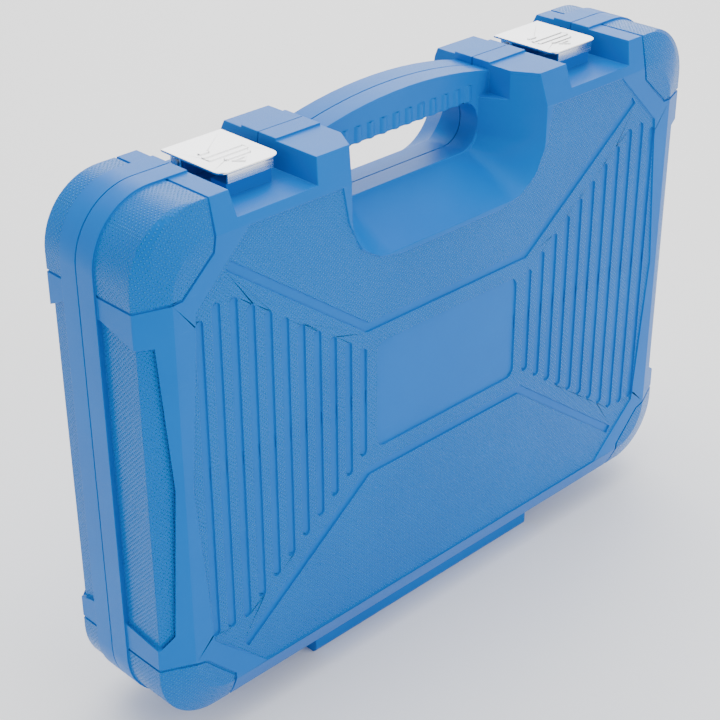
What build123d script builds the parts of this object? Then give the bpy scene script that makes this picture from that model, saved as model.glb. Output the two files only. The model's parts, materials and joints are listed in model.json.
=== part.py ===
"""Socket wrench set in a two-part moulded carrying case, standing on its hinge side.

Frame, in millimetres: +Z up, +X along the case's width, the panelled lid faces -Y.
The origin is on the floor, under the middle of the case. The lid and the base are
double-walled: an outer skin and an inner tray with one pocket for each tool.
"""
from build123d import *
import os
from math import cos, radians, sin

os.makedirs("parts", exist_ok=True)

# ---- driving dimensions of the case ----
case_width = 430.0
case_height = 304.0
foot_height = 18.0
half_depth = 41.65
parting = 6.65
parting_gap = 0.5
skin = 3.0
corner = 36.0
chamfer_side = 19.0
chamfer_top = 19.0
chamfer_bottom = 15.3
chamfer_depth = 7.8
rim_depth = 13.5
rim_proud = 1.2
fit_gap = 0.07
tight_gap = 0.02

case_top = foot_height + case_height
lid_edge = parting - parting_gap / 2
base_edge = parting + parting_gap / 2

# ---- carrying handle and the finger gap under it ----
gap_half = 57.0
gap_floor = foot_height + 256.0
gap_ceiling = foot_height + 287.0
handle_half = 66.0
handle_end_top = foot_height + 300.6
handle_middle_top = foot_height + 308.2
scoop_slope = 30.0
bar_under = gap_ceiling - 5
shoulder_keepout = 82.0
shoulder_floor = foot_height + 230.0

# ---- raised and sunk pattern on the two big faces ----
panel_depth = 0.9
groove_depth = 1.1
seam_depth = 0.9
seam_width = 1.3
side_panel_depth = 2.0
groove_width = 5.2
slot_count = 11
slot_pitch = 11.16
slot_first = 68.8
slot_middle = foot_height + 150.6
slot_first_half = 34.3
slot_slope = 0.713
plate_half = 58.0
plate_half_height = 33.5
panel_low = foot_height + 15.9
panel_high = foot_height + 283.9
notch_floor = foot_height + 233.0
lobe_count = 11
lobe_pitch = 9.7
lobe_radius = 5.2
lobe_high = 9.5
lobe_proud = 0.9

# ---- latches ----
latch_centre = 126.2
latch_width = 40.0
latch_front = -21.15
latch_back = 25.65
latch_sheet = 1.2
rib_high = 0.5
recess_width = 55.0
recess_floor = foot_height + 290.0
latch_axis_y = 19.0
latch_axis_z = foot_height + 298.0
latch_pin_radius = 1.5
latch_boss_radius = 4.4
latch_boss_half = 14.3
lip_half = 15.0
lip_bottom = foot_height + 297.5
catch_top = foot_height + 297.0

# ---- hinge along the bottom ----
knuckle_radius = 8.0
hinge_pin_radius = 2.5
hinge_block_half = 95.0
hinge_block_front = -26.35
rear_foot_length = 22.5
rear_foot_back = 33.0

# ---- trays ----
tray_wall = 2.0
lid_face = -3.35
base_face = 12.65
pocket_play = 0.5
lid_floor_limit = -36.4
base_floor_limit = 36.4


def depth_plane(y):
    """The plane at depth y with X to the right and Z up; its normal points to -Y."""
    return Plane(origin=(0, y, 0), x_dir=(1, 0, 0), z_dir=(0, -1, 0))


def along_x(x, y, z):
    """A place whose own Z runs along +X."""
    return Location(Plane(origin=(x, y, z), x_dir=(0, 1, 0), z_dir=(1, 0, 0)))


def along_z(x, y, z):
    """A place whose own Z runs up."""
    return Location(Plane(origin=(x, y, z), x_dir=(1, 0, 0), z_dir=(0, 0, 1)))


def facing_lid(x, y, z):
    """A place whose own Z points to -Y, the way a stored socket opens."""
    return Location(Plane(origin=(x, y, z), x_dir=(1, 0, 0), z_dir=(0, -1, 0)))


def finish(piece, name):
    piece.part.label = name
    export_step(piece.part, f"parts/{name}.step")


# ======================= case halves =======================
def case_sections(side, edge, inset):
    """Depth, side, top and bottom draw-in and corner radius of one half, from the parting out."""
    end = side * (half_depth - inset)
    start = side * (half_depth - chamfer_depth - inset / 2)
    if side < 0:
        middle = start - 3.5
        return [
            (edge, inset, inset, inset, corner - inset),
            (start, inset, inset, inset, corner - inset),
            (middle, 8.5 + inset, inset, 5.6 + inset, corner - 4 - inset),
            (end, chamfer_side + inset, chamfer_top + inset, chamfer_bottom + inset, 26 - inset),
        ]
    return [
        (edge, inset, inset, inset, corner - inset),
        (start, inset, inset, inset, corner - inset),
        (end, chamfer_side + inset, chamfer_top + inset, chamfer_bottom + inset, 26 - inset),
    ]


def half_block(side, edge, inset):
    """One half of the case as a full block, or the hollow inside it when inset is the wall."""
    with BuildPart() as block:
        for depth, sides, top, bottom, radius in case_sections(side, edge, inset):
            with BuildSketch(depth_plane(depth)):
                with Locations((0, foot_height + (case_height - top + bottom) / 2)):
                    RectangleRounded(case_width - 2 * sides, case_height - top - bottom, radius)
        loft(ruled=True)
    return block.part


def half_hollow(side, edge):
    """The hollow of one half: it keeps off the handle's shoulders and the latch recesses."""
    block = half_block(side, edge, skin)
    high = case_top - shoulder_floor
    deep = 2 * half_depth + 2
    with BuildPart() as hollow:
        add(block)
        with Locations((0, 0, shoulder_floor + high / 2)):
            Box(2 * shoulder_keepout, deep, high, mode=Mode.SUBTRACT)
        lid_over = recess_floor - skin
        with Locations(*[(x, 0, lid_over + 20) for x in (-latch_centre, latch_centre)]):
            Box(recess_width + 2 * skin, deep, 40, mode=Mode.SUBTRACT)
    return hollow.part


def surface_layer(side, edge, thick):
    """The outermost material of one half, thick deep: what a sunk panel or a seam takes away."""
    outer = half_block(side, edge, 0)
    inner = half_block(side, edge, thick)
    with BuildPart() as layer:
        add(outer)
        add(inner, mode=Mode.SUBTRACT)
    return layer.part


def bumper_seams(side, edge):
    """Narrow seams that bound the four corner bumpers, sunk into the surface layer."""
    layer = surface_layer(side, edge, seam_depth)
    floor = foot_height
    upper = [(168, floor + 306), (168, floor + 285), (169.4, floor + 277), (190, floor + 258.6), (218, floor + 257.4)]
    lower = [(218, floor + 43), (196.7, floor + 41.4), (189, floor + 39.5), (169.5, floor + 19.5), (168.6, floor - 2)]
    with BuildPart() as seams:
        with BuildSketch(depth_plane(edge)):
            for points in (upper, lower):
                for flip in (-1, 1):
                    with BuildLine():
                        Polyline(*[(flip * x, z) for x, z in points])
                    trace(line_width=seam_width)
        extrude(amount=-side * 3 * half_depth)
        add(layer, mode=Mode.INTERSECT)
    return seams.part


def side_panels(side, edge, rim_face):
    """Sunk panels on both narrow sides; they run from the rim on to the slanted border."""
    layer = surface_layer(side, edge, side_panel_depth)
    face = side * half_depth
    floor = foot_height
    inward = -side
    outline = [
        (rim_face, floor + 245),
        (face + inward * 3.9, floor + 236.6),
        (face + inward * 1.9, floor + 154),
        (face + inward * 4.0, floor + 63.5),
        (face + inward * 7.2, floor + 56.5),
        (rim_face, floor + 60),
    ]
    with BuildPart() as panels:
        with BuildSketch(Plane.YZ):
            with BuildLine():
                Polyline(*outline, close=True)
            make_face()
        extrude(amount=case_width, both=True)
        add(layer, mode=Mode.INTERSECT)
    return panels.part


def face_panel_outline():
    """Outline of the big dotted panel, notched for the scoop under the handle."""
    right = [
        (40, notch_floor), (56, notch_floor + 3), (70, notch_floor + 12), (79, notch_floor + 30),
        (83, panel_high), (146.3, panel_high), (181.8, foot_height + 249),
        (190.3, foot_height + 150), (182, foot_height + 49), (146, panel_low),
    ]
    return right + [(-x, z) for x, z in reversed(right)]


def case_half(side, edge):
    """Outer skin of one half with its rim, handle half, scoop, recesses and face pattern."""
    face = side * half_depth
    rim_face = edge + side * (rim_depth - parting_gap / 2)
    block = half_block(side, edge, 0)
    hollow = half_hollow(side, edge)
    seams = bumper_seams(side, edge)
    panels = side_panels(side, edge, rim_face)
    with BuildPart() as shell:
        add(block)
        with BuildSketch(depth_plane(edge)):
            with Locations((0, foot_height + case_height / 2)):
                RectangleRounded(
                    case_width + 2 * rim_proud, case_height + 2 * rim_proud, corner + rim_proud
                )
        extrude(amount=-side * abs(rim_face - edge))
        # the top between the shoulders gives way to the handle
        with BuildSketch(depth_plane(face)):
            with Locations((0, gap_ceiling + 30)):
                Rectangle(2 * handle_half, 60)
        extrude(amount=side * abs(edge - face), mode=Mode.SUBTRACT)
        # scoop for the fingers, drawn in from the big face to the rim
        scoop_depth = abs(rim_face - face)
        scoop_grow = scoop_depth * sin(radians(scoop_slope)) / cos(radians(scoop_slope))
        scoop_half = gap_half + scoop_grow
        scoop_floor = gap_floor - scoop_grow
        with BuildSketch(depth_plane(face)):
            with Locations((0, scoop_floor + 100)):
                RectangleRounded(2 * scoop_half, 200, 30)
        extrude(amount=side * scoop_depth, taper=scoop_slope, mode=Mode.SUBTRACT)
        # handle bar, arched on top
        with BuildSketch(depth_plane(rim_face)):
            with BuildLine():
                Polyline(
                    (handle_half, handle_end_top),
                    (handle_half, bar_under),
                    (-handle_half, bar_under),
                    (-handle_half, handle_end_top),
                )
                ThreePointArc(
                    (-handle_half, handle_end_top), (0, handle_middle_top), (handle_half, handle_end_top)
                )
            make_face()
        extrude(amount=side * abs(edge - rim_face))
        # lobes along the handle's lower edge
        lobe_x = [(number - (lobe_count - 1) / 2) * lobe_pitch for number in range(lobe_count)]
        lobe_y = rim_face - side * (lobe_radius - lobe_proud)
        with Locations(*[(x, lobe_y, gap_ceiling + 4) for x in lobe_x]):
            Cylinder(lobe_radius, lobe_high)
        # finger gap, right through
        with BuildSketch(depth_plane(edge)):
            with Locations((0, (gap_floor + gap_ceiling) / 2)):
                RectangleRounded(2 * gap_half, gap_ceiling - gap_floor - 1.5, 13.5)
        extrude(amount=half_depth * 3, both=True, mode=Mode.SUBTRACT)
        # latch recesses, open to the big face
        with BuildSketch(Plane.XY.offset(recess_floor)):
            with Locations((-latch_centre, 0), (latch_centre, 0)):
                Rectangle(recess_width - 2, 6 * half_depth)
        extrude(amount=24, taper=-9, mode=Mode.SUBTRACT)
        add(hollow, mode=Mode.SUBTRACT)
        add(seams, mode=Mode.SUBTRACT)
        add(panels, mode=Mode.SUBTRACT)
        with BuildSketch(depth_plane(face)):
            with BuildLine():
                Polyline(*face_panel_outline(), close=True)
            make_face()
        extrude(amount=side * panel_depth, mode=Mode.SUBTRACT)
        # sunk pattern: fanned slots, four diagonals, two cross grooves and a plain plate
        with BuildSketch(depth_plane(face)):
            for number in range(slot_count):
                x = slot_first + number * slot_pitch
                half = slot_first_half + slot_slope * number * slot_pitch
                low = slot_middle - min(half, 99.0)
                high = slot_middle + min(half, 99.0 - 6 * max(0, number - 9))
                with Locations((-x, (low + high) / 2), (x, (low + high) / 2)):
                    SlotOverall(high - low, groove_width, rotation=90)
            for flip_z in (-1, 1):
                inner_z = slot_middle + flip_z * 46
                outer_z = slot_middle + flip_z * 116
                with BuildLine():
                    Polyline((-160, outer_z), (-65, inner_z), (65, inner_z), (160, outer_z))
                trace(line_width=groove_width)
            with Locations((0, slot_middle)):
                RectangleRounded(2 * plate_half, 2 * plate_half_height, 6)
        extrude(amount=side * (panel_depth + groove_depth), mode=Mode.SUBTRACT)
    return shell.part


def hinge_block(start, length, outer, join_from, join_to):
    """Block under the case: a round knuckle on the pin, a flat foot and a neck up to the case."""
    with BuildPart() as block:
        with BuildSketch(Plane.YZ.offset(start)):
            with Locations((parting, knuckle_radius)):
                Circle(knuckle_radius)
            with Locations(((outer + parting) / 2, knuckle_radius)):
                Rectangle(abs(outer - parting), 2 * knuckle_radius)
            with Locations(((join_from + join_to) / 2, foot_height - 1)):
                Rectangle(abs(join_to - join_from), 5)
        extrude(amount=length)
        sole_edges = block.edges().filter_by(Axis.X).group_by(Axis.Z)[0]
        fillet(sole_edges.sort_by(Axis.Y)[0 if outer < parting else -1], 4)
    return block.part


lid_shell = case_half(-1, lid_edge)
base_shell = case_half(1, base_edge)
lid_block = hinge_block(-hinge_block_half, 2 * hinge_block_half, hinge_block_front, hinge_block_front, 4)
foot_starts = (hinge_block_half + 0.5, -hinge_block_half - 0.5 - rear_foot_length)
base_blocks = [hinge_block(start, rear_foot_length, rear_foot_back, rear_foot_back, 9.5) for start in foot_starts]

with BuildPart() as lid_outer_skin:
    add(lid_shell)
    add(lid_block)
    with Locations(along_x(0, parting, knuckle_radius)):
        Cylinder(hinge_pin_radius + fit_gap, 3 * hinge_block_half, mode=Mode.SUBTRACT)
    # catch blocks under the latch lips
    catch_high = catch_top - recess_floor
    with Locations(*[(x, -12.9, recess_floor + catch_high / 2) for x in (-latch_centre, latch_centre)]):
        Box(2 * lip_half, 12, catch_high)
finish(lid_outer_skin, "lid_outer_skin")

with BuildPart() as base_outer_skin:
    add(base_shell)
    for block in base_blocks:
        add(block)
    with Locations(along_x(0, parting, knuckle_radius)):
        Cylinder(hinge_pin_radius + tight_gap, 2 * (hinge_block_half + 18), mode=Mode.SUBTRACT)
    # bosses that carry the latch pins
    for x in (-latch_centre, latch_centre):
        with Locations(along_x(x, latch_axis_y, latch_axis_z)):
            Cylinder(latch_boss_radius, 2 * latch_boss_half)
        with Locations((x, latch_axis_y, (recess_floor + latch_axis_z) / 2)):
            Box(2 * latch_boss_half, 2 * latch_boss_radius, latch_axis_z - recess_floor)
        with Locations(along_x(x, latch_axis_y, latch_axis_z)):
            Cylinder(latch_pin_radius + tight_gap, 40, mode=Mode.SUBTRACT)
finish(base_outer_skin, "base_outer_skin")

with BuildPart() as hinge_pin:
    with Locations(along_x(0, parting, knuckle_radius)):
        Cylinder(hinge_pin_radius, 2 * (hinge_block_half + 17))
    chamfer(hinge_pin.edges().filter_by(GeomType.CIRCLE), 0.6)
finish(hinge_pin, "hinge_pin")


# ======================= latches =======================
def latch_plate(centre):
    """Pressed steel latch: plate, front lip and two pierced ears round the pin."""
    top = foot_height + case_height
    long = latch_back - latch_front
    with BuildPart() as latch:
        with Locations((centre, (latch_back + latch_front) / 2, top - latch_sheet / 2)):
            Box(latch_width, long, latch_sheet)
        fillet(latch.edges().filter_by(Axis.Z).group_by(Axis.Y)[0], 6)
        with Locations((centre, latch_front + 1.2, (top - latch_sheet + lip_bottom) / 2)):
            Box(2 * lip_half, latch_sheet, top - latch_sheet - lip_bottom)
        # pressed-up grip ribs and a small arrow
        with BuildSketch(Plane.XY.offset(top)):
            for y, shift, length in ((-8.2, 2, 17), (-3.4, 0, 26), (1.4, 0, 26), (6.2, -8, 7)):
                with Locations((centre + shift, y)):
                    SlotOverall(length, 2.4)
            with BuildLine():
                Polyline((centre - 4, -12.2), (centre + 4, -12.2), (centre, -16.2), close=True)
            trace(line_width=0.8)
        extrude(amount=rib_high)
        for side in (-1, 1):
            with BuildSketch(Plane.YZ.offset(centre + side * (latch_boss_half + 0.3))):
                with Locations((latch_axis_y, latch_axis_z)):
                    Circle(latch_boss_radius)
                with Locations((latch_axis_y, (latch_axis_z + top - latch_sheet) / 2)):
                    Rectangle(2 * latch_boss_radius, top - latch_sheet - latch_axis_z)
                with Locations((latch_axis_y, latch_axis_z)):
                    Circle(latch_pin_radius + fit_gap, mode=Mode.SUBTRACT)
            extrude(amount=side * 1.4)
    return latch.part


def latch_pin(centre):
    """Riveted pin with a flat head outside each ear."""
    half = latch_boss_half + 0.3 + 1.4 + 0.2
    with BuildPart() as pin:
        with Locations(along_x(centre, latch_axis_y, latch_axis_z)):
            Cylinder(latch_pin_radius, 2 * half)
        for side in (-1, 1):
            with Locations(along_x(centre + side * (half + 0.5), latch_axis_y, latch_axis_z)):
                Cylinder(2.6, 1)
    return pin.part


for side_name, centre in (("left", -latch_centre), ("right", latch_centre)):
    with BuildPart() as latch:
        add(latch_plate(centre))
    finish(latch, f"{side_name}_latch")
    with BuildPart() as pin:
        add(latch_pin(centre))
    finish(pin, f"{side_name}_latch_pin")


# ======================= ratchets =======================
def tool_place(x, back, z, turn):
    """Frame of a ratchet: its X runs to the handle, its Z down its drive into the pocket."""
    return Location(Plane(origin=(x, back, z), x_dir=(turn, 0, 0), z_dir=(0, 1, 0)))


def put(piece, place, name):
    with BuildPart() as placed:
        add(place * piece)
    finish(placed, name)


def ratchet_head_outline(head, neck, reach):
    with BuildSketch() as outline:
        Circle(head)
        with Locations((reach, 0)):
            Circle(neck)
        make_hull()
    return outline.sketch


def build_ratchet(size, k, square, shaft_end, grip_start, grip_radius, place):
    """All pieces of one reversible ratchet. k scales its head from the 1/2 inch one."""
    head, thick, cavity = 19 * k, 14 * k, 13 * k
    pawl_x, pawl_radius = 18 * k, 4.4 * k
    cover_thick, cavity_end = 2 * k, 11.5 * k
    shaft_radius = 6.9 * k
    centre_z = thick / 2
    spindle = 2.4 * k
    button_stem = 2.8 * k
    screw_spots = [(17 * k * 0.888 * cos(radians(a)), 17 * k * 0.888 * sin(radians(a))) for a in (125, 235)]

    with BuildPart() as body:
        add(ratchet_head_outline(head, 9 * k, 21 * k))
        extrude(amount=thick)
        fillet(body.edges().group_by(Axis.Z)[0] + body.edges().group_by(Axis.Z)[-1], 0.8 * k)
        with Locations(along_x((shaft_end + 20 * k) / 2, 0, centre_z)):
            Cylinder(shaft_radius, shaft_end - 20 * k)
        add(ratchet_head_outline(17 * k, 6.5 * k, 18 * k))
        extrude(amount=cover_thick, mode=Mode.SUBTRACT)
        with Locations((0, 0, (cover_thick + cavity_end) / 2)):
            Cylinder(cavity, cavity_end - cover_thick, mode=Mode.SUBTRACT)
        with Locations((pawl_x, 0, (cover_thick + cavity_end) / 2)):
            Cylinder(pawl_radius + 0.3, cavity_end - cover_thick, mode=Mode.SUBTRACT)
        with Locations((0, 0, thick)):
            Cylinder(10 * k, 4 * thick, mode=Mode.SUBTRACT, align=(Align.CENTER, Align.CENTER, Align.CENTER))
        with Locations(*[(x, y, cover_thick + 2 * k) for x, y in screw_spots]):
            Cylinder(0.9 * k + tight_gap, 4 * k, mode=Mode.SUBTRACT)
    put(body.part, place, f"{size}_ratchet_body")

    grip_end = shaft_end + 9 * k
    with BuildPart() as grip:
        with BuildSketch(Plane.XY.offset(centre_z)):
            with BuildLine():
                Polyline((grip_start, 0), (grip_end, 0), (grip_end, grip_radius * 0.8))
                Spline(
                    (grip_end, grip_radius * 0.8),
                    (grip_end - 8 * k, grip_radius),
                    ((grip_start + grip_end) / 2, grip_radius * 0.88),
                    (grip_start + 22 * k, grip_radius * 0.97),
                    (grip_start, grip_radius * 0.72),
                )
                Line((grip_start, grip_radius * 0.72), (grip_start, 0))
            make_face()
        revolve(axis=Axis((0, 0, centre_z), (1, 0, 0)))
        with Locations(along_x((grip_start + shaft_end) / 2, 0, centre_z)):
            Cylinder(shaft_radius + tight_gap, shaft_end - grip_start + 0.1, mode=Mode.SUBTRACT)
    put(grip.part, place, f"{size}_ratchet_grip")

    with BuildPart() as cover:
        add(ratchet_head_outline(17 * k - 0.05, 6.5 * k - 0.05, 18 * k))
        extrude(amount=cover_thick)
        with Locations((0, 0, 0)):
            Cylinder(4 * k, 4 * cover_thick, mode=Mode.SUBTRACT)
        with Locations((pawl_x, 0, 0)):
            Cylinder(spindle + fit_gap, 4 * cover_thick, mode=Mode.SUBTRACT)
        with Locations(*[(x, y, 0) for x, y in screw_spots]):
            Cylinder(0.9 * k + tight_gap, 4 * cover_thick, mode=Mode.SUBTRACT)
            Cylinder(1.5 * k + tight_gap, 2.4 * k, mode=Mode.SUBTRACT)
    put(cover.part, place, f"{size}_ratchet_cover")

    with BuildPart() as screws:
        with Locations(*[(x, y, 0.1) for x, y in screw_spots]):
            Cylinder(1.5 * k, 0.9 * k, align=(Align.CENTER, Align.CENTER, Align.MIN))
            Cylinder(0.9 * k, 3.6 * k, align=(Align.CENTER, Align.CENTER, Align.MIN))
    put(screws.part, place, f"{size}_ratchet_cover_screws")

    gear_top, gear_end, teeth = cover_thick + 0.3, cavity_end - 0.3, 30
    square_end = thick + 1.2 * k + square * 1.15
    with BuildPart() as drive:
        with Locations((0, 0, (gear_top + gear_end) / 2)):
            Cylinder(cavity - 0.4, gear_end - gear_top)
        with BuildSketch(Plane.XY.offset(gear_top)):
            with PolarLocations(cavity - 0.4, teeth):
                Rectangle(1.6 * k, 1.3 * k, rotation=45)
        extrude(amount=gear_end - gear_top, mode=Mode.SUBTRACT)
        with Locations((0, 0, gear_end)):
            Cylinder(10 * k - fit_gap, thick + 1.2 * k - gear_end, align=(Align.CENTER, Align.CENTER, Align.MIN))
        with BuildSketch(Plane.XY.offset(thick)):
            Rectangle(square, square)
        extrude(amount=square_end - thick)
        chamfer(drive.edges().group_by(Axis.Z)[-1], square * 0.08)
        with Locations((0, 0, gear_top)):
            Cylinder(button_stem + fit_gap, 30 * k, mode=Mode.SUBTRACT)
        ball_z = thick + 1.2 * k + square * 0.55
        with Locations(Location((0, square / 2, ball_z), (90, 0, 0))):
            Cylinder(square * 0.14, square * 0.42, mode=Mode.SUBTRACT)
    put(drive.part, place, f"{size}_ratchet_drive")

    with BuildPart() as ball:
        with Locations((0, square / 2 - square * 0.04, ball_z)):
            Sphere(square * 0.13)
    put(ball.part, place, f"{size}_ratchet_ball")

    with BuildPart() as button:
        with Locations((0, 0, -2.2 * k)):
            Cylinder(3.6 * k, 2.6 * k, align=(Align.CENTER, Align.CENTER, Align.MIN))
            Cylinder(button_stem, 11 * k, align=(Align.CENTER, Align.CENTER, Align.MIN))
        fillet(button.edges().group_by(Axis.Z)[0], 0.7 * k)
    put(button.part, place, f"{size}_ratchet_button")

    with BuildPart() as lever:
        with Locations((pawl_x, 0, -3.6 * k)):
            Cylinder(5.4 * k, 3.3 * k, align=(Align.CENTER, Align.CENTER, Align.MIN))
            Cylinder(spindle, 3.6 * k + cover_thick + 1.5 * k, align=(Align.CENTER, Align.CENTER, Align.MIN))
        with Locations((pawl_x + 8 * k, 0, -3.6 * k)):
            Box(15 * k, 6 * k, 3.3 * k, align=(Align.CENTER, Align.CENTER, Align.MIN))
        fillet(lever.edges().filter_by(Axis.Z), 1.2 * k)
    put(lever.part, place, f"{size}_ratchet_lever")

    with BuildPart() as pawl:
        with Locations((pawl_x, 0, cover_thick + 0.2)):
            Cylinder(pawl_radius, cavity_end - cover_thick - 0.4, align=(Align.CENTER, Align.CENTER, Align.MIN))
            Cylinder(spindle + tight_gap, 2 * (1.5 * k + 0.1), mode=Mode.SUBTRACT)
        Cylinder(cavity + 1.2 * k, 6 * thick, mode=Mode.SUBTRACT)
    put(pawl.part, place, f"{size}_ratchet_pawl")


half_ratchet_back = 6.3
half_ratchet_spot = (-165.0, 132.0)
quarter_ratchet_back = 8.5
quarter_ratchet_spot = (-172.0, 178.0)
build_ratchet(
    "half_inch", 1.0, 12.7, 215, 118, 13.5,
    tool_place(half_ratchet_spot[0], half_ratchet_back, half_ratchet_spot[1], 1),
)
build_ratchet(
    "quarter_inch", 0.62, 6.35, 128, 68, 9.5,
    tool_place(quarter_ratchet_spot[0], quarter_ratchet_back, quarter_ratchet_spot[1], 1),
)


# ======================= sockets and bits =======================
def socket(across_flats, outside, length, square):
    """One socket about its own Z: hexagon end up, square drive end down."""
    with BuildPart() as piece:
        Cylinder(outside / 2, length)
        chamfer(piece.edges().filter_by(GeomType.CIRCLE), min(0.7, outside / 30))
        with BuildSketch(Plane.XY.offset(length / 2)):
            RegularPolygon(across_flats / 2, 6, major_radius=False)
        extrude(amount=-length * 0.45, mode=Mode.SUBTRACT)
        with BuildSketch(Plane.XY.offset(-length / 2)):
            Rectangle(square + 0.2, square + 0.2)
        extrude(amount=length * 0.42, mode=Mode.SUBTRACT)
    return piece.part


def row_of(outsides, left, space):
    """X of each centre in a row of round tools that starts at left."""
    spots = []
    x = left
    for outside in outsides:
        spots.append(x + outside / 2)
        x += outside + space
    return spots


half_sizes = {10: 22, 12: 22, 13: 22, 14: 22, 15: 22, 17: 24, 19: 26, 22: 30, 24: 32, 27: 36, 30: 40, 32: 42}
half_length = 38.0
half_row_z = 60.0
half_spots = row_of(half_sizes.values(), -187, 2.9)
half_floor = 36.4
for (flats, outside), x in zip(half_sizes.items(), half_spots):
    with BuildPart() as one_socket:
        with Locations(facing_lid(x, half_floor - 0.3 - half_length / 2, half_row_z)):
            add(socket(flats, outside, half_length, 12.7))
    finish(one_socket, f"half_inch_socket_{flats}_mm")

quarter_sizes = {4: 12, 4.5: 12, 5: 12, 5.5: 12, 6: 12, 7: 12, 8: 12, 9: 13, 10: 14, 11: 15.5, 12: 16.5, 13: 17.5}
quarter_length = 25.0
quarter_row_z = 98.0
quarter_spots = row_of(quarter_sizes.values(), -187, 4)
quarter_floor = 30.0
with BuildPart() as quarter_inch_sockets:
    for (flats, outside), x in zip(quarter_sizes.items(), quarter_spots):
        with Locations(facing_lid(x, quarter_floor - 0.3 - quarter_length / 2, quarter_row_z)):
            add(socket(flats, outside, quarter_length, 6.35))
finish(quarter_inch_sockets, "quarter_inch_sockets")

bit_socket_count = 8
bit_socket_pitch = 19.0
bit_socket_spots = [42 + number * bit_socket_pitch for number in range(bit_socket_count)]
with BuildPart() as bit_sockets:
    for number, x in enumerate(bit_socket_spots):
        across = 3 + 0.5 * number
        with Locations(facing_lid(x, quarter_floor - 0.3 - 9, quarter_row_z)):
            Cylinder(6.4, 18)
        with BuildSketch(depth_plane(quarter_floor - 0.3 - 18)):
            with Locations((x, quarter_row_z)):
                RegularPolygon(across / 2, 6, major_radius=False)
        extrude(amount=12)
finish(bit_sockets, "bit_sockets")

bit_grid = (6, 5)
bit_pitch = 12.6
bit_holder_size = (84.0, 70.0)
bit_holder_spot = (150.0, 250.0)
bit_across = 6.35
for side_name, side in (("left", -1), ("right", 1)):
    with BuildPart() as holder:
        with BuildSketch(depth_plane(quarter_floor - 0.3)):
            with Locations((side * bit_holder_spot[0], bit_holder_spot[1])):
                RectangleRounded(*bit_holder_size, 4)
        extrude(amount=15)
        fillet(holder.edges().group_by(Axis.Y)[0], 1)
        with BuildSketch(depth_plane(quarter_floor - 2.8)):
            with Locations((side * bit_holder_spot[0], bit_holder_spot[1])):
                with GridLocations(bit_pitch, bit_pitch, *bit_grid):
                    RegularPolygon(bit_across / 2 + 0.05, 6, major_radius=False)
        extrude(amount=20, mode=Mode.SUBTRACT)
    finish(holder, f"{side_name}_bit_holder")

with BuildPart() as screwdriver_bits:
    for side in (-1, 1):
        with BuildSketch(depth_plane(quarter_floor - 2.8)):
            with Locations((side * bit_holder_spot[0], bit_holder_spot[1])):
                with GridLocations(bit_pitch, bit_pitch, *bit_grid):
                    RegularPolygon(bit_across / 2, 6, major_radius=False)
        extrude(amount=17)
        with BuildSketch(depth_plane(quarter_floor - 2.8 - 17)):
            with Locations((side * bit_holder_spot[0], bit_holder_spot[1])):
                with GridLocations(bit_pitch, bit_pitch, *bit_grid):
                    Circle(2.4)
        extrude(amount=7, taper=6)
finish(screwdriver_bits, "screwdriver_bits")

# ---- spinner handle, plug sockets and drive adapters in the base ----
spinner_z = 178.0
spinner_y = 16.0
spinner_start = -12.0
spinner_grip_long = 88.0
spinner_long = 152.0
with BuildPart() as spinner_grip:
    with BuildSketch(Plane(origin=(spinner_start, spinner_y, spinner_z), x_dir=(1, 0, 0), z_dir=(0, -1, 0))):
        with BuildLine():
            Polyline((spinner_grip_long, 0), (0, 0), (0, 8))
            Spline((0, 8), (8, 12), (40, 11), (72, 12), (spinner_grip_long, 7))
            Line((spinner_grip_long, 7), (spinner_grip_long, 0))
        make_face()
    revolve(axis=Axis((0, spinner_y, spinner_z), (1, 0, 0)))
    with Locations(along_x(spinner_start + spinner_grip_long - 30, spinner_y, spinner_z)):
        Cylinder(3.5 + tight_gap, 60.2, mode=Mode.SUBTRACT)
finish(spinner_grip, "spinner_grip")

with BuildPart() as spinner_shaft:
    shaft_from = spinner_start + spinner_grip_long - 60
    shaft_to = spinner_start + spinner_long - 8
    with Locations(along_x((shaft_from + shaft_to) / 2, spinner_y, spinner_z)):
        Cylinder(3.5, shaft_to - shaft_from)
    with Locations(along_x(shaft_to - 6, spinner_y, spinner_z)):
        Cylinder(5.5, 12)
    with Locations((shaft_to + 4, spinner_y, spinner_z)):
        Box(8, 6.35, 6.35)
finish(spinner_shaft, "spinner_shaft")

plug_length = 65.0
plug_x = 118.0
plug_y = 18.0
plug_sockets = {21: (13.0, 120.0), 16: (11.0, 150.0)}
for flats, (radius, z) in plug_sockets.items():
    with BuildPart() as plug_socket:
        with Locations(along_x(plug_x, plug_y, z)):
            add(socket(flats, 2 * radius, plug_length, 12.7))
    finish(plug_socket, f"spark_plug_socket_{flats}_mm")
with BuildPart() as plug_inserts:
    for flats, (radius, z) in plug_sockets.items():
        with Locations(along_x(plug_x + plug_length * 0.05 + 5.1, plug_y, z)):
            Cylinder(flats / 2 - 0.1, 10)
            Cylinder(flats / 2 - 3.6, 10, mode=Mode.SUBTRACT)
finish(plug_inserts, "spark_plug_socket_inserts")

adapter_spots = [(180.0, 120.0), (180.0, 150.0)]
adapter_length = 24.0
with BuildPart() as drive_adapters:
    with Locations(*[facing_lid(x, quarter_floor - 0.3 - adapter_length / 2, z) for x, z in adapter_spots]):
        Cylinder(11, adapter_length)
    with BuildSketch(depth_plane(quarter_floor - 0.3)):
        with Locations(*adapter_spots):
            Rectangle(12.9, 12.9)
    extrude(amount=11, mode=Mode.SUBTRACT)
    with BuildSketch(depth_plane(quarter_floor - 0.3 - adapter_length)):
        with Locations(*adapter_spots):
            Rectangle(9.5, 9.5)
    extrude(amount=8)
finish(drive_adapters, "drive_adapters")


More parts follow.
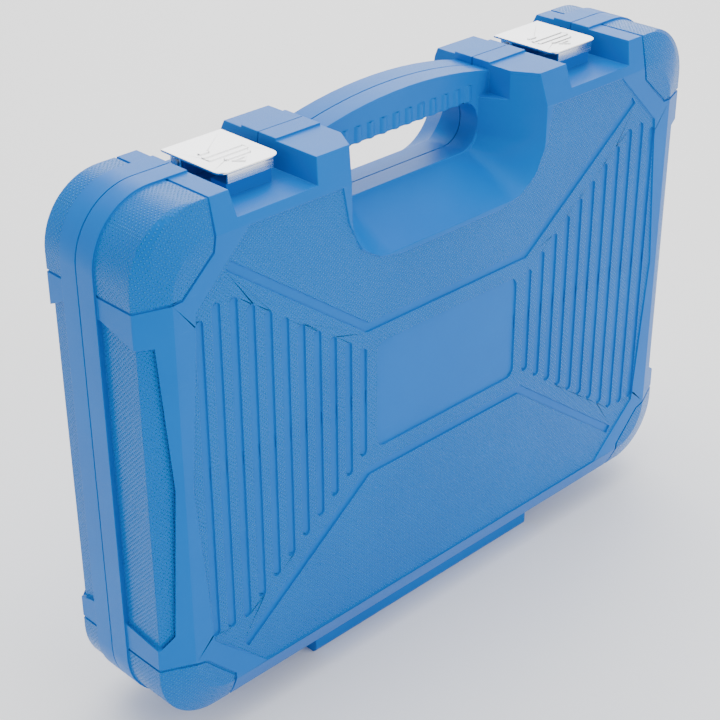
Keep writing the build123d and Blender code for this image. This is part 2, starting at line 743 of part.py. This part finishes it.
# ======================= tools kept in the lid =======================
def extension_bar(length, radius, end_radius, square):
    """Extension bar about its own Z: female end down, male square up."""
    end_long = end_radius * 3.2
    with BuildPart() as bar:
        Cylinder(radius, length - square, align=(Align.CENTER, Align.CENTER, Align.MIN))
        Cylinder(end_radius, end_long, align=(Align.CENTER, Align.CENTER, Align.MIN))
        with Locations((0, 0, length - square * 2.2)):
            Cylinder(end_radius * 0.92, square * 1.2, align=(Align.CENTER, Align.CENTER, Align.MIN))
        chamfer(bar.edges().filter_by(GeomType.CIRCLE).filter_by(lambda e: e.radius > end_radius * 0.9), 0.6)
        with Locations((0, 0, length - square / 2)):
            Box(square, square, square)
        with Locations((0, 0, square * 0.6)):
            Box(square + 0.2, square + 0.2, square * 1.2, mode=Mode.SUBTRACT)
    return bar.part


extension_bars = {
    "half_inch_extension_long": (250.0, 6.5, 10.5, 12.7, -125.0, -15.0, 52.0),
    "half_inch_extension_short": (125.0, 6.5, 10.5, 12.7, -190.0, -15.0, 128.0),
    "quarter_inch_extension_long": (150.0, 3.6, 6.2, 6.35, -42.0, -11.0, 128.0),
    "quarter_inch_extension_short": (70.0, 3.6, 6.2, 6.35, 126.0, -11.0, 128.0),
}
for name, (length, radius, end_radius, square, x, y, z) in extension_bars.items():
    with BuildPart() as bar:
        with Locations(along_x(x, y, z)):
            add(extension_bar(length, radius, end_radius, square))
    finish(bar, name)

t_bar_z = 90.0
t_bar_y = -12.5
t_bar_radius = 6.0
t_bar_length = 216.0
t_bar_travel = 92.0
t_head_radius = 12.5
with BuildPart() as t_handle_head:
    with BuildSketch(depth_plane(-4)):
        with Locations((0, t_bar_z)):
            Circle(t_head_radius)
    extrude(amount=18)
    fillet(t_handle_head.edges().filter_by(GeomType.CIRCLE), 1)
    with BuildSketch(depth_plane(-22)):
        with Locations((0, t_bar_z)):
            Rectangle(12.7, 12.7)
    extrude(amount=13.5)
    with Locations(along_x(0, t_bar_y, t_bar_z)):
        Cylinder(t_bar_radius + fit_gap, 60, mode=Mode.SUBTRACT)
finish(t_handle_head, "t_handle_head")

with BuildPart() as t_handle_bar:
    with Locations(along_x(0, t_bar_y, t_bar_z)):
        Cylinder(t_bar_radius, t_bar_length)
    chamfer(t_handle_bar.edges().filter_by(GeomType.CIRCLE), 1)
finish(t_handle_bar, "t_handle_bar")

key_pocket = (0.0, 187.0, 150.0, 92.0)
key_y = -9.0
key_sizes = {8: 128, 6: 106, 5: 86, 4: 66, 3: 48}
with BuildPart() as hex_keys:
    for number, (across, length) in enumerate(key_sizes.items()):
        elbow_x = 66 - 2.0 - number * 11.0
        elbow_z = 221 - number * 12.0
        short = 20 + 3 * across
        with BuildSketch(Plane(origin=(elbow_x, key_y, elbow_z), x_dir=(0, 1, 0), z_dir=(-1, 0, 0))):
            RegularPolygon(across / 2, 6, major_radius=False, rotation=30)
        extrude(amount=length)
        with BuildSketch(Plane(origin=(elbow_x, key_y, elbow_z), x_dir=(1, 0, 0), z_dir=(0, 0, -1))):
            RegularPolygon(across / 2, 6, major_radius=False)
        extrude(amount=short)
        with Locations((elbow_x, key_y, elbow_z)):
            Sphere(across * 0.56)
finish(hex_keys, "hex_keys")

deep_length = 77.0
deep_sizes = {13: (-188, 11.5), 17: (-157, 12.5), 19: (-126, 13.0), 21: (126, 14.0), 22: (158, 14.5)}
deep_y = -18.5
deep_z = 244.0
with BuildPart() as deep_sockets:
    for flats, (x, radius) in deep_sizes.items():
        with Locations(along_z(x, deep_y, deep_z)):
            add(socket(flats, 2 * radius, deep_length, 12.7))
finish(deep_sockets, "half_inch_deep_sockets")


# ======================= inner trays =======================
def build_tray(name, side, face, round_pockets, box_pockets):
    """Inner skin of one half: a flat sheet sunk from the parting with a cup for each pocket."""
    low = foot_height + skin
    high = case_top - skin

    def sheet_outline():
        with BuildSketch() as outline:
            with Locations((0, (low + high) / 2)):
                RectangleRounded(case_width - 2 * skin, high - low, corner + 2)
            with Locations((0, high)):
                Rectangle(2 * shoulder_keepout + 4, 2 * (high - shoulder_floor + 2), mode=Mode.SUBTRACT)
            with Locations((-latch_centre, high), (latch_centre, high)):
                Rectangle(recess_width + 2 * skin + 1, 2 * (high - recess_floor + skin + 1), mode=Mode.SUBTRACT)
        return outline.sketch

    outline = sheet_outline()
    cups = [("round", x, z, r, 0, floor) for x, z, r, floor in round_pockets]
    cups += [("box", x, z, w, h, floor) for x, z, w, h, floor in box_pockets]
    with BuildPart() as tray:
        with BuildSketch(depth_plane(face)):
            add(outline)
        extrude(amount=-side * tray_wall)
        for wall, mode in ((tray_wall, Mode.ADD), (0.0, Mode.SUBTRACT)):
            for floor in sorted({cup[5] for cup in cups}):
                with BuildSketch(depth_plane(face)):
                    for kind, x, z, a, b, _ in [cup for cup in cups if cup[5] == floor]:
                        with Locations((x, z)):
                            if kind == "round":
                                Circle(a + wall)
                            else:
                                RectangleRounded(a + 2 * wall, b + 2 * wall, 3)
                extrude(amount=-side * (abs(floor - face) + wall), mode=mode)
    finish(tray, name)


def span(x_from, x_to, z, half_high, floor):
    """A box pocket given by its ends."""
    return ((x_from + x_to) / 2, z, x_to - x_from, 2 * half_high, floor)


base_round = [(x, half_row_z, d / 2 + pocket_play, half_floor) for x, d in zip(half_spots, half_sizes.values())]
base_round += [
    (x, quarter_row_z, d / 2 + pocket_play, quarter_floor)
    for x, d in zip(quarter_spots, quarter_sizes.values())
]
base_round += [(x, quarter_row_z, 6.9, quarter_floor) for x in bit_socket_spots]
base_round += [(x, z, 11.5, quarter_floor) for x, z in adapter_spots]
base_round += [(*half_ratchet_spot, 20.5, base_floor_limit), (*quarter_ratchet_spot, 13.0, 26.0)]
hx, hz = half_ratchet_spot
qx, qz = quarter_ratchet_spot
base_boxes = [
    span(hx, hx + 36, hz, 17, 21.0),
    span(hx + 20, hx + 120, hz, 8, 21.0),
    span(hx + 115, hx + 226, hz, 16, 28.6),
    span(qx, qx + 23, qz, 11, 18.0),
    span(qx + 12, qx + 70, qz, 5, 18.0),
    span(qx + 65, qx + 137, qz, 11.6, 23.8),
    span(spinner_start - 1, spinner_start + spinner_grip_long + 1, spinner_z, 14.5, 29.8),
    span(spinner_start + 80, spinner_start + spinner_long + 2, spinner_z, 6.5, 22.5),
]
base_boxes += [
    span(plug_x - plug_length / 2 - 1, plug_x + plug_length / 2 + 1, z, radius + 1, plug_y + radius + 0.5)
    for radius, z in plug_sockets.values()
]
base_boxes += [
    (side * bit_holder_spot[0], bit_holder_spot[1], bit_holder_size[0] + 1, bit_holder_size[1] + 1, quarter_floor)
    for side in (-1, 1)
]
build_tray("base_inner_tray", 1, base_face, base_round, base_boxes)

lid_round = [(0, t_bar_z, t_head_radius + 1, lid_floor_limit)]
lid_boxes = [
    span(x - 1, x + length + 1, z, end_radius + 1, y - end_radius - 0.5)
    for length, _, end_radius, _, x, y, z in extension_bars.values()
]
t_reach = t_bar_length / 2 + t_bar_travel + 1
lid_boxes += [
    span(-t_reach, t_reach, t_bar_z, t_bar_radius + 0.7, t_bar_y - t_bar_radius - 0.5),
    (key_pocket[0], key_pocket[1], key_pocket[2], key_pocket[3], key_y - 5.0),
]
lid_boxes += [
    (x, deep_z, 2 * radius + 2, deep_length + 2, deep_y - radius - 0.5) for x, radius in deep_sizes.values()
]
build_tray("lid_inner_tray", -1, lid_face, lid_round, lid_boxes)
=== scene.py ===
"""Looks of a socket wrench set in its moulded carrying case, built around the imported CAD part."""
import json
import math

import bmesh
import bpy
from mathutils import Matrix, Vector


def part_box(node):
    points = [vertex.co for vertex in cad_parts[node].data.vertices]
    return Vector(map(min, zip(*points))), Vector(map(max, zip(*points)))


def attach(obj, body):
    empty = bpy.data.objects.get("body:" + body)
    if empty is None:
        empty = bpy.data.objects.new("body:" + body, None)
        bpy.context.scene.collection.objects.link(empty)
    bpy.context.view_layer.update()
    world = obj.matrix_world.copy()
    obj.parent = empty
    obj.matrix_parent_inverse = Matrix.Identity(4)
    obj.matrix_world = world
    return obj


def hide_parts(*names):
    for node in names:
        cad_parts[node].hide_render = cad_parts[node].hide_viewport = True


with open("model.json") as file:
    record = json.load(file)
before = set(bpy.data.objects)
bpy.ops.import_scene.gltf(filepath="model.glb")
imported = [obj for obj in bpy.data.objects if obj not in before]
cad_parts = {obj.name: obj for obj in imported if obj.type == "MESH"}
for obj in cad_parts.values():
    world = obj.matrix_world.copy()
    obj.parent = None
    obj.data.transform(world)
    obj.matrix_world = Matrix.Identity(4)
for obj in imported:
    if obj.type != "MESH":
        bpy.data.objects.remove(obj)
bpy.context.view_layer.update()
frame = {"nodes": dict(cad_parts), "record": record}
record = frame["record"]
MM = 0.001

# ---- places read from the frame ----
LID_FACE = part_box("lid_outer_skin")[0][1]
BASE_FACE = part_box("base_outer_skin")[1][1]
FOOT = 18 * MM
PARTING = 6.65 * MM
PANEL_SUNK = 0.9 * MM
PANEL_GAP = 0.06 * MM
RIM_REACH = 13.6 * MM

# ---- outlines of the studded patches, in mm across, up from the case bottom and in from the face ----
TOP_BUMPER_CORNER, TOP_BUMPER_SLOPE = (169.4, 277.0), -0.893
TOP_BUMPER_MIN = (168.6, 258.0)
FOOT_BUMPER_CORNER, FOOT_BUMPER_SLOPE = (169.5, 19.5), 1.026
FOOT_BUMPER_LIMIT = (169.3, 42.4)
SIDE_PANEL_FROM = 194.0
SIDE_PANEL_HIGH = (57.0, 245.0)
SIDE_PANEL_DEPTH = 2.2
SIDE_PANEL = [(60, 245), (3.9, 236.6), (1.9, 154), (4.0, 63.5), (7.2, 56.5), (60, 60)]

# ---- roundings ----
SKIN_EDGE = 0.4 * MM
SKIN_SHARP = math.radians(14)
SOLID_SHARP = math.radians(30)
WELD = 2e-6


# ======================= shader groups =======================
def new_group(name, inputs, outputs):
    """An empty shader group with named inputs (name, type, value) and outputs (name, type)."""
    group = bpy.data.node_groups.new(name, "ShaderNodeTree")
    for label, kind, value in inputs:
        socket = group.interface.new_socket(label, in_out="INPUT", socket_type=kind)
        if value is not None:
            socket.default_value = value
    for label, kind in outputs:
        group.interface.new_socket(label, in_out="OUTPUT", socket_type=kind)
    return group, group.nodes.new("NodeGroupInput"), group.nodes.new("NodeGroupOutput")


def math_node(tree, operation, first, second=None, clamp=False):
    node = tree.nodes.new("ShaderNodeMath")
    node.operation = operation
    node.use_clamp = clamp
    for socket, value in zip(node.inputs, (first, second)):
        if value is None:
            continue
        if isinstance(value, (int, float)):
            socket.default_value = value
        else:
            tree.links.new(value, socket)
    return node.outputs[0]


def smooth_range(tree, value, low, high, to_low=0.0, to_high=1.0):
    node = tree.nodes.new("ShaderNodeMapRange")
    node.interpolation_type = "SMOOTHSTEP"
    for label, setting in (("From Min", low), ("From Max", high), ("To Min", to_low), ("To Max", to_high)):
        if isinstance(setting, (int, float)):
            node.inputs[label].default_value = setting
        else:
            tree.links.new(setting, node.inputs[label])
    tree.links.new(value, node.inputs["Value"])
    return node.outputs["Result"]


def noise(tree, place, scale, detail=3.0, roughness=0.55):
    node = tree.nodes.new("ShaderNodeTexNoise")
    node.inputs["Scale"].default_value = scale
    node.inputs["Detail"].default_value = detail
    node.inputs["Roughness"].default_value = roughness
    tree.links.new(place, node.inputs["Vector"])
    return node.outputs["Fac"]


def object_place(tree):
    return tree.nodes.new("ShaderNodeTexCoord").outputs["Object"]


def make_dots_group():
    """Staggered round studs, laid on whichever of the three main planes a surface is nearest."""
    group, inside, outside = new_group(
        "staggered_studs",
        [("Pitch", "NodeSocketFloat", 0.0026)],
        [("Height", "NodeSocketFloat")],
    )
    coords = group.nodes.new("ShaderNodeTexCoord")
    place = group.nodes.new("ShaderNodeSeparateXYZ")
    facing = group.nodes.new("ShaderNodeSeparateXYZ")
    group.links.new(coords.outputs["Object"], place.inputs[0])
    group.links.new(coords.outputs["Normal"], facing.inputs[0])
    turns = math_node(group, "DIVIDE", 2 * math.pi, inside.outputs["Pitch"])
    waves = [
        math_node(group, "COSINE", math_node(group, "MULTIPLY", place.outputs[axis], turns))
        for axis in range(3)
    ]
    sizes = [math_node(group, "ABSOLUTE", facing.outputs[axis]) for axis in range(3)]
    studs = []
    for axis in range(3):
        first, second = [waves[other] for other in range(3) if other != axis]
        bump = smooth_range(group, math_node(group, "MULTIPLY", first, second), 0.25, 0.95)
        studs.append(math_node(group, "MULTIPLY", bump, smooth_range(group, sizes[axis], 0.62, 0.76)))
    total = math_node(group, "ADD", math_node(group, "ADD", studs[0], studs[1]), studs[2], clamp=True)
    group.links.new(total, outside.inputs["Height"])
    return group


def make_grain_group():
    """Fine moulded or brushed grain: broad shade, fine height and a mask of faint scuffs."""
    group, inside, outside = new_group(
        "surface_grain",
        [
            ("Fine Scale", "NodeSocketFloat", 1500.0),
            ("Broad Scale", "NodeSocketFloat", 12.0),
            ("Stretch", "NodeSocketVector", (1.0, 1.0, 1.0)),
        ],
        [("Shade", "NodeSocketFloat"), ("Height", "NodeSocketFloat"), ("Scuffs", "NodeSocketFloat")],
    )
    place = object_place(group)
    stretched = group.nodes.new("ShaderNodeVectorMath")
    stretched.operation = "MULTIPLY"
    group.links.new(place, stretched.inputs[0])
    group.links.new(inside.outputs["Stretch"], stretched.inputs[1])
    for label, source, scale, detail in (
        ("Height", stretched.outputs[0], "Fine Scale", 3.0),
        ("Shade", place, "Broad Scale", 4.0),
    ):
        node = group.nodes.new("ShaderNodeTexNoise")
        node.inputs["Detail"].default_value = detail
        group.links.new(source, node.inputs["Vector"])
        group.links.new(inside.outputs[scale], node.inputs["Scale"])
        group.links.new(node.outputs["Fac"], outside.inputs[label])
    streaks = group.nodes.new("ShaderNodeVectorMath")
    streaks.operation = "MULTIPLY"
    streaks.inputs[1].default_value = (30.0, 160.0, 420.0)
    group.links.new(place, streaks.inputs[0])
    rubbed = noise(group, streaks.outputs[0], 1.0, 5.0, 0.7)
    patches = noise(group, place, 28.0, 2.0)
    scuffs = math_node(
        group, "MULTIPLY", smooth_range(group, rubbed, 0.62, 0.72), smooth_range(group, patches, 0.5, 0.68)
    )
    group.links.new(scuffs, outside.inputs["Scuffs"])
    return group


DOTS = make_dots_group()
GRAIN = make_grain_group()


def use_group(material, group, **values):
    node = material.node_tree.nodes.new("ShaderNodeGroup")
    node.node_tree = group
    for label, value in values.items():
        node.inputs[label.replace("_", " ")].default_value = value
    return node


def finish_material(
    name, colour, light, roughness, rough_spread, metallic=0.0, fine=1500.0, broad=12.0,
    stretch=(1.0, 1.0, 1.0), grain_depth=0.00002, dots=0.0, scuff_colour=None, coat=0.0, specular=0.5,
    sheen=(1.0, 1.0, 1.0),
):
    """A surface with colour drift, grain, scuffs and, where dots is its height, moulded studs whose tops
    carry a painted highlight.
    """
    material = bpy.data.materials.new(name)
    material.use_nodes = True
    tree = material.node_tree
    surface = tree.nodes["Principled BSDF"]
    surface.inputs["Metallic"].default_value = metallic
    surface.inputs["Coat Weight"].default_value = coat
    surface.inputs["Specular IOR Level"].default_value = specular
    surface.inputs["Specular Tint"].default_value = (*sheen, 1)
    grain = use_group(material, GRAIN, Fine_Scale=fine, Broad_Scale=broad, Stretch=stretch)
    drift = tree.nodes.new("ShaderNodeMix")
    drift.data_type = "RGBA"
    drift.inputs["A"].default_value = (*colour, 1)
    drift.inputs["B"].default_value = (*light, 1)
    tree.links.new(smooth_range(tree, grain.outputs["Shade"], 0.35, 0.65), drift.inputs["Factor"])
    shown = drift.outputs["Result"]
    if scuff_colour:
        rub = tree.nodes.new("ShaderNodeMix")
        rub.data_type = "RGBA"
        rub.inputs["B"].default_value = (*scuff_colour, 1)
        tree.links.new(shown, rub.inputs["A"])
        tree.links.new(math_node(tree, "MULTIPLY", grain.outputs["Scuffs"], 0.35), rub.inputs["Factor"])
        shown = rub.outputs["Result"]
    tree.links.new(shown, surface.inputs["Base Color"])
    rough = smooth_range(
        tree, grain.outputs["Height"], 0.3, 0.7, roughness - rough_spread, roughness + rough_spread
    )
    tree.links.new(rough, surface.inputs["Roughness"])
    bump = tree.nodes.new("ShaderNodeBump")
    bump.inputs["Strength"].default_value = 1.0
    bump.inputs["Distance"].default_value = grain_depth
    tree.links.new(grain.outputs["Height"], bump.inputs["Height"])
    normal = bump.outputs["Normal"]
    if dots:
        studs = use_group(material, DOTS)
        # painted highlight: the stud tops are mixed toward a lighter blue so that they read as lit points
        stud_highlight = tree.nodes.new("ShaderNodeMix")
        stud_highlight.data_type = "RGBA"
        stud_highlight.inputs["B"].default_value = (*BLUE_STUD_HIGHLIGHT, 1)
        tree.links.new(shown, stud_highlight.inputs["A"])
        tree.links.new(math_node(tree, "MULTIPLY", studs.outputs["Height"], 0.6), stud_highlight.inputs["Factor"])
        tree.links.new(stud_highlight.outputs["Result"], surface.inputs["Base Color"])
        raised = tree.nodes.new("ShaderNodeBump")
        raised.inputs["Strength"].default_value = 1.0
        raised.inputs["Distance"].default_value = dots
        tree.links.new(studs.outputs["Height"], raised.inputs["Height"])
        tree.links.new(normal, raised.inputs["Normal"])
        normal = raised.outputs["Normal"]
    tree.links.new(normal, surface.inputs["Normal"])
    return material


BLUE = (0.0, 0.118, 0.46)
BLUE_LIGHT = (0.0, 0.13, 0.49)
# lighter blue painted onto the stud tops as a highlight
BLUE_STUD_HIGHLIGHT = (0.01, 0.3, 0.74)
BLUE_SHEEN = (0.12, 0.6, 1.0)
BLUE_RUB = (0.02, 0.2, 0.55)
MATERIALS = {
    "case_blue": finish_material(
        "moulded_blue_smooth", BLUE, BLUE_LIGHT, 0.4, 0.05, grain_depth=0.00003, scuff_colour=BLUE_RUB,
        specular=0.35, sheen=BLUE_SHEEN,
    ),
    "case_dots": finish_material(
        "moulded_blue_studded", BLUE, BLUE_LIGHT, 0.3, 0.05, dots=0.0007, scuff_colour=BLUE_RUB,
        specular=0.35, sheen=BLUE_SHEEN,
    ),
    "tray_blue": finish_material("tray_blue", (0.0, 0.095, 0.4), BLUE, 0.45, 0.05, grain_depth=0.00003),
    "latch_steel": finish_material(
        "polished_latch_steel", (0.86, 0.87, 0.88), (0.93, 0.93, 0.94), 0.2, 0.05, metallic=1.0,
        fine=260.0, stretch=(0.15, 8.0, 8.0), grain_depth=0.00001,
    ),
    "plain_steel": finish_material(
        "plain_steel", (0.56, 0.57, 0.59), (0.66, 0.67, 0.69), 0.3, 0.07, metallic=1.0, fine=700.0
    ),
    "satin_chrome": finish_material(
        "satin_chrome", (0.7, 0.71, 0.73), (0.8, 0.8, 0.82), 0.22, 0.06, metallic=1.0, fine=900.0
    ),
    "grip_black": finish_material("soft_grip", (0.015, 0.015, 0.017), (0.03, 0.03, 0.032), 0.6, 0.08),
    "holder_black": finish_material(
        "holder_plastic", (0.02, 0.02, 0.022), (0.035, 0.035, 0.037), 0.45, 0.06
    ),
    "insert_rubber": finish_material(
        "insert_rubber", (0.012, 0.012, 0.012), (0.025, 0.025, 0.025), 0.75, 0.06
    ),
    "key_black": finish_material(
        "oiled_black_steel", (0.03, 0.03, 0.034), (0.05, 0.05, 0.055), 0.35, 0.08, metallic=0.6
    ),
    "bit_steel": finish_material(
        "blasted_bit_steel", (0.4, 0.41, 0.43), (0.5, 0.51, 0.53), 0.42, 0.08, metallic=1.0
    ),
}
SLOT_OF = {entry["node"]: entry["material_slot"] for entry in record["subparts"]}


# ======================= soft edges on the solids =======================
def body_of_node(node):
    for body, members in record["behaviour"]["bodies"].items():
        if node in members:
            return body
    raise ValueError(node)


def flat_faces_made_plain(work):
    """Clears needless edges inside the flat faces that look forward or back, then triangulates."""
    level = [
        edge for edge in work.edges
        if len(edge.link_faces) == 2 and all(abs(face.normal.y) > 0.9999 for face in edge.link_faces)
    ]
    bmesh.ops.dissolve_limit(work, angle_limit=math.radians(0.05), verts=[], edges=level)
    bmesh.ops.triangulate(work, faces=[face for face in work.faces if len(face.verts) > 3])


def soft_copy(node, radius, segments, sharp):
    """A copy of a solid's mesh with every edge sharper than sharp rounded by radius."""
    work = bmesh.new()
    work.from_mesh(frame["nodes"][node].data)
    bmesh.ops.remove_doubles(work, verts=work.verts, dist=WELD)
    flat_faces_made_plain(work)
    weights = work.edges.layers.float.new("bevel_weight_edge")
    rounded = 0
    for edge in work.edges:
        if len(edge.link_faces) == 2 and edge.calc_face_angle(0.0) > sharp:
            edge[weights] = 1.0
            rounded += 1
    mesh = bpy.data.meshes.new(f"rounded_{node}")
    work.to_mesh(mesh)
    work.free()
    piece = bpy.data.objects.new(f"rounded_{node}", mesh)
    bpy.context.scene.collection.objects.link(piece)
    if rounded:
        bevel = piece.modifiers.new("edges", "BEVEL")
        bevel.limit_method = "WEIGHT"
        bevel.width = radius
        bevel.segments = segments
        bevel.use_clamp_overlap = False
        bevel.harden_normals = False
    weighted = piece.modifiers.new("normals", "WEIGHTED_NORMAL")
    weighted.keep_sharp = True
    for polygon in mesh.polygons:
        polygon.use_smooth = True
    return piece


def settle(piece):
    """Keeps what the modifiers make as the piece's own mesh."""
    graph = bpy.context.evaluated_depsgraph_get()
    made = bpy.data.meshes.new_from_object(piece.evaluated_get(graph), depsgraph=graph)
    piece.modifiers.clear()
    piece.data = made


def hand_over(piece, node):
    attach(piece, body_of_node(node))
    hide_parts(node)


# ======================= the two outer skins =======================
def inside_outline(across, high, outline):
    """Whether a point lies in a closed outline, by counting crossings."""
    inside = False
    for (x0, z0), (x1, z1) in zip(outline, outline[1:] + outline[:1]):
        if (z0 > high) != (z1 > high) and across < (x1 - x0) * (high - z0) / (z1 - z0) + x0:
            inside = not inside
    return inside


def past_corner(across, high, corner, slope):
    return high - corner[1] - slope * (across - corner[0])


def is_studded(spot, face):
    """Whether a place on an outer skin is on a dotted panel, a corner bumper or a side panel."""
    across, high, depth = abs(spot.x) / MM, (spot.z - FOOT) / MM, abs(spot.y - face) / MM
    if abs(abs(spot.y - face) - PANEL_SUNK) < PANEL_GAP:
        return True
    if abs(spot.y - PARTING) < RIM_REACH:
        return False
    if across > TOP_BUMPER_MIN[0] and high > TOP_BUMPER_MIN[1]:
        if past_corner(across, high, TOP_BUMPER_CORNER, TOP_BUMPER_SLOPE) > 0:
            return True
    if across > FOOT_BUMPER_LIMIT[0] and high < FOOT_BUMPER_LIMIT[1]:
        if past_corner(across, high, FOOT_BUMPER_CORNER, FOOT_BUMPER_SLOPE) < 0:
            return True
    on_side = across > SIDE_PANEL_FROM and SIDE_PANEL_HIGH[0] < high < SIDE_PANEL_HIGH[1]
    return on_side and depth > SIDE_PANEL_DEPTH and inside_outline(depth, high, SIDE_PANEL)


def build_skin(node, face):
    """An outer skin, its studded patches picked by place."""
    piece = soft_copy(node, SKIN_EDGE, 3, SKIN_SHARP)
    piece.data.materials.clear()
    piece.data.materials.append(MATERIALS["case_blue"])
    piece.data.materials.append(MATERIALS["case_dots"])
    for polygon in piece.data.polygons:
        polygon.material_index = 1 if is_studded(polygon.center, face) else 0
    settle(piece)
    hand_over(piece, node)


SKINS = {"lid_outer_skin": LID_FACE, "base_outer_skin": BASE_FACE}
for skin, skin_face in SKINS.items():
    build_skin(skin, skin_face)


# ======================= everything else =======================
EDGE_SIZES = {
    "latch_steel": 0.22 * MM,
    "satin_chrome": 0.25 * MM,
    "plain_steel": 0.15 * MM,
    "tray_blue": 0.5 * MM,
    "holder_black": 0.3 * MM,
    "grip_black": 0.3 * MM,
    "key_black": 0.15 * MM,
    "bit_steel": 0.12 * MM,
    "insert_rubber": 0.2 * MM,
}
for node in frame["nodes"]:
    if node in SKINS:
        continue
    finish = SLOT_OF[node]
    piece = soft_copy(node, EDGE_SIZES[finish], 2, SOLID_SHARP)
    piece.data.materials.clear()
    piece.data.materials.append(MATERIALS[finish])
    settle(piece)
    hand_over(piece, node)


# ======================= floor, light and camera =======================
def build_stage():
    mesh = bpy.data.meshes.new("studio_floor")
    reach = 6.0
    corners = [(-reach, -reach, 0), (reach, -reach, 0), (reach, reach, 0), (-reach, reach, 0)]
    mesh.from_pydata(corners, [], [(0, 1, 2, 3)])
    floor = bpy.data.objects.new("studio_floor", mesh)
    bpy.context.scene.collection.objects.link(floor)
    pale = bpy.data.materials.new("pale_floor")
    pale.use_nodes = True
    surface = pale.node_tree.nodes["Principled BSDF"]
    surface.inputs["Base Color"].default_value = (0.97, 0.97, 0.97, 1)
    surface.inputs["Roughness"].default_value = 0.7
    surface.inputs["Specular IOR Level"].default_value = 0.2
    mesh.materials.append(pale)


def soft_light(name, place, target, size, power, colour=(1, 1, 1)):
    lamp = bpy.data.lights.new(name, "AREA")
    lamp.shape = "RECTANGLE"
    lamp.size, lamp.size_y = size
    lamp.energy = power
    lamp.color = colour
    holder = bpy.data.objects.new(name, lamp)
    holder.location = place
    holder.rotation_euler = (Vector(target) - Vector(place)).to_track_quat("-Z", "Y").to_euler()
    bpy.context.scene.collection.objects.link(holder)


def build_light():
    centre = (0, 0, 0.16)
    soft_light("top_softbox", (0.1, 0.15, 1.6), centre, (1.8, 1.4), 27)
    soft_light("front_softbox", (0.5, -1.7, 0.9), centre, (1.4, 1.2), 16)
    soft_light("back_softbox", (1.15, 1.2, 1.05), centre, (1.8, 1.3), 24)
    soft_light("side_softbox", (-1.8, -0.4, 0.6), centre, (1.0, 1.0), 6)
    world = bpy.data.worlds.new("studio")
    world.use_nodes = True
    world.node_tree.nodes["Background"].inputs["Color"].default_value = (1, 1, 1, 1)
    world.node_tree.nodes["Background"].inputs["Strength"].default_value = 0.8
    bpy.context.scene.world = world


def build_camera():
    right = Vector((0.71367, -0.70050, -0.00468))
    up = Vector((0.34538, 0.34604, 0.87235))
    back = right.cross(up).normalized()
    lens = bpy.data.cameras.new("camera")
    lens.lens = 83.6
    lens.sensor_width = 36.0
    camera = bpy.data.objects.new("camera", lens)
    turn = Matrix((right, up, back)).transposed().to_4x4()
    camera.matrix_world = Matrix.Translation((-0.6240, -0.6068, 0.6405)) @ turn
    bpy.context.scene.collection.objects.link(camera)
    bpy.context.scene.camera = camera


build_stage()
build_light()
build_camera()
